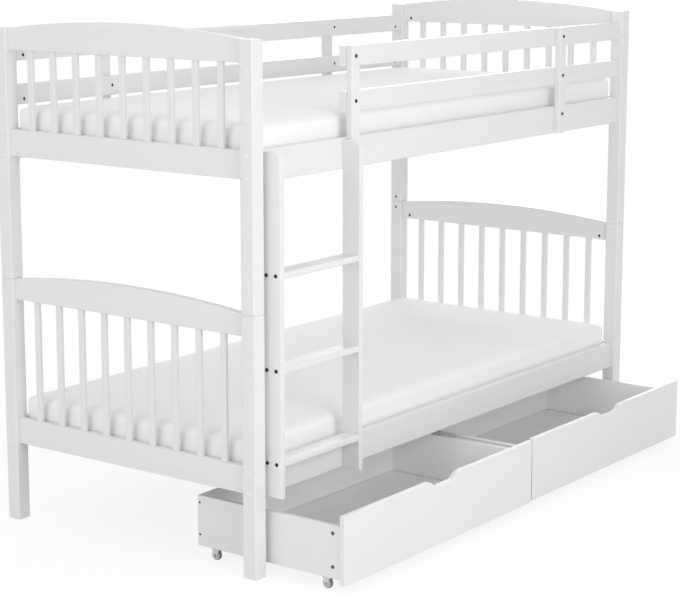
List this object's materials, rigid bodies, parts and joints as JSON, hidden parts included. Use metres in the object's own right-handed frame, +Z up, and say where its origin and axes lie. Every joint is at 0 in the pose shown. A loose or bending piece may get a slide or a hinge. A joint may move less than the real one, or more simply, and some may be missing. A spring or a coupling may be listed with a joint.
{
  "type": "bunk bed",
  "caption": "White bunk bed with arched spindle ends, guard boards, an upright front ladder, mattresses, and wide under-bed drawers that roll out on casters.",
  "frame": {"origin": "on the floor, in the middle of the part's box with the drawers part open as pictured", "axes": "+X along the bed to the right, -Y to the front with ladder and drawers, +Z up"},
  "size_m": [2.1, 1.26, 1.539],
  "materials": {
    "white_lacquered_wood": "satin white lacquer over solid wood, faint grain",
    "bare_pine": "planed, uncoated",
    "white_drawer_panel": "smooth satin white coating on board",
    "mattress_fabric": "plain white woven cover",
    "bolt_metal": "pale grey coated heads",
    "zinc_steel": "zinc plated",
    "caster_plastic": "pale grey moulded plastic",
    "caster_tread": "dark grey moulded plastic"
  },
  "bodies": {
    "bed_frame": {"lower_front_left_post": "white_lacquered_wood", "lower_front_right_post": "white_lacquered_wood", "lower_rear_left_post": "white_lacquered_wood", "lower_rear_right_post": "white_lacquered_wood", "upper_front_left_post": "white_lacquered_wood", "upper_front_right_post": "white_lacquered_wood", "upper_rear_left_post": "white_lacquered_wood", "upper_rear_right_post": "white_lacquered_wood", "post_dowels": "zinc_steel", "lower_left_top_rail": "white_lacquered_wood", "lower_left_bottom_rail": "white_lacquered_wood", "lower_left_spindles": "white_lacquered_wood", "lower_right_top_rail": "white_lacquered_wood", "lower_right_bottom_rail": "white_lacquered_wood", "lower_right_spindles": "white_lacquered_wood", "lower_front_side_rail": "white_lacquered_wood", "lower_rear_side_rail": "white_lacquered_wood", "upper_left_top_rail": "white_lacquered_wood", "upper_left_bottom_rail": "white_lacquered_wood", "upper_left_spindles": "white_lacquered_wood", "upper_right_top_rail": "white_lacquered_wood", "upper_right_bottom_rail": "white_lacquered_wood", "upper_right_spindles": "white_lacquered_wood", "upper_front_side_rail": "white_lacquered_wood", "upper_rear_side_rail": "white_lacquered_wood", "slat_ledgers": "white_lacquered_wood", "lower_slats": "bare_pine", "lower_mattress": "mattress_fabric", "upper_slats": "bare_pine", "upper_mattress": "mattress_fabric", "front_guard_lower_board": "white_lacquered_wood", "front_guard_upper_board": "white_lacquered_wood", "front_guard_uprights": "white_lacquered_wood", "rear_guard_lower_board": "white_lacquered_wood", "rear_guard_upper_board": "white_lacquered_wood", "rear_guard_uprights": "white_lacquered_wood", "ladder_left_stringer": "white_lacquered_wood", "ladder_right_stringer": "white_lacquered_wood", "ladder_rungs": "white_lacquered_wood", "post_bolts": "bolt_metal"},
    "left_drawer": {"left_drawer_front": "white_drawer_panel", "left_drawer_back": "white_drawer_panel", "left_drawer_sides": "white_drawer_panel", "left_drawer_bottom": "white_drawer_panel", "left_drawer_caster_forks": "caster_plastic", "left_drawer_caster_axles": "zinc_steel"},
    "right_drawer": {"right_drawer_front": "white_drawer_panel", "right_drawer_back": "white_drawer_panel", "right_drawer_sides": "white_drawer_panel", "right_drawer_bottom": "white_drawer_panel", "right_drawer_caster_forks": "caster_plastic", "right_drawer_caster_axles": "zinc_steel"},
    "left_drawer_front_left_wheel": {"left_drawer_front_left_wheel": "caster_tread"},
    "left_drawer_front_right_wheel": {"left_drawer_front_right_wheel": "caster_tread"},
    "left_drawer_rear_left_wheel": {"left_drawer_rear_left_wheel": "caster_tread"},
    "left_drawer_rear_right_wheel": {"left_drawer_rear_right_wheel": "caster_tread"},
    "right_drawer_front_left_wheel": {"right_drawer_front_left_wheel": "caster_tread"},
    "right_drawer_front_right_wheel": {"right_drawer_front_right_wheel": "caster_tread"},
    "right_drawer_rear_left_wheel": {"right_drawer_rear_left_wheel": "caster_tread"},
    "right_drawer_rear_right_wheel": {"right_drawer_rear_right_wheel": "caster_tread"}
  },
  "joints": [
    {"name": "left_drawer_slide", "type": "slide", "parent": "bed_frame", "child": "left_drawer", "axis": [0, -1, 0], "range_m": [-0.265, 0.268]},
    {"name": "right_drawer_slide", "type": "slide", "parent": "bed_frame", "child": "right_drawer", "axis": [0, -1, 0], "range_m": [-0.257, 0.276]},
    {"name": "left_drawer_front_left_wheel_spin", "type": "hinge", "parent": "left_drawer", "child": "left_drawer_front_left_wheel", "pos_m": [-0.971, -0.56, 0.015], "axis": [1, 0, 0], "continuous": true},
    {"name": "left_drawer_front_right_wheel_spin", "type": "hinge", "parent": "left_drawer", "child": "left_drawer_front_right_wheel", "pos_m": [-0.024, -0.56, 0.015], "axis": [1, 0, 0], "continuous": true},
    {"name": "left_drawer_rear_left_wheel_spin", "type": "hinge", "parent": "left_drawer", "child": "left_drawer_rear_left_wheel", "pos_m": [-0.971, -0.157, 0.015], "axis": [1, 0, 0], "continuous": true},
    {"name": "left_drawer_rear_right_wheel_spin", "type": "hinge", "parent": "left_drawer", "child": "left_drawer_rear_right_wheel", "pos_m": [-0.024, -0.157, 0.015], "axis": [1, 0, 0], "continuous": true},
    {"name": "right_drawer_front_left_wheel_spin", "type": "hinge", "parent": "right_drawer", "child": "right_drawer_front_left_wheel", "pos_m": [0.033, -0.552, 0.015], "axis": [1, 0, 0], "continuous": true},
    {"name": "right_drawer_front_right_wheel_spin", "type": "hinge", "parent": "right_drawer", "child": "right_drawer_front_right_wheel", "pos_m": [0.98, -0.552, 0.015], "axis": [1, 0, 0], "continuous": true},
    {"name": "right_drawer_rear_left_wheel_spin", "type": "hinge", "parent": "right_drawer", "child": "right_drawer_rear_left_wheel", "pos_m": [0.033, -0.149, 0.015], "axis": [1, 0, 0], "continuous": true},
    {"name": "right_drawer_rear_right_wheel_spin", "type": "hinge", "parent": "right_drawer", "child": "right_drawer_rear_right_wheel", "pos_m": [0.98, -0.149, 0.015], "axis": [1, 0, 0], "continuous": true}
  ],
  "couplings": [
    {"joint": "left_drawer_front_left_wheel_spin", "follows": "left_drawer_slide", "rad_per_m": 66.667},
    {"joint": "left_drawer_front_right_wheel_spin", "follows": "left_drawer_slide", "rad_per_m": 66.667},
    {"joint": "left_drawer_rear_left_wheel_spin", "follows": "left_drawer_slide", "rad_per_m": 66.667},
    {"joint": "left_drawer_rear_right_wheel_spin", "follows": "left_drawer_slide", "rad_per_m": 66.667},
    {"joint": "right_drawer_front_left_wheel_spin", "follows": "right_drawer_slide", "rad_per_m": 66.667},
    {"joint": "right_drawer_front_right_wheel_spin", "follows": "right_drawer_slide", "rad_per_m": 66.667},
    {"joint": "right_drawer_rear_left_wheel_spin", "follows": "right_drawer_slide", "rad_per_m": 66.667},
    {"joint": "right_drawer_rear_right_wheel_spin", "follows": "right_drawer_slide", "rad_per_m": 66.667}
  ]
}
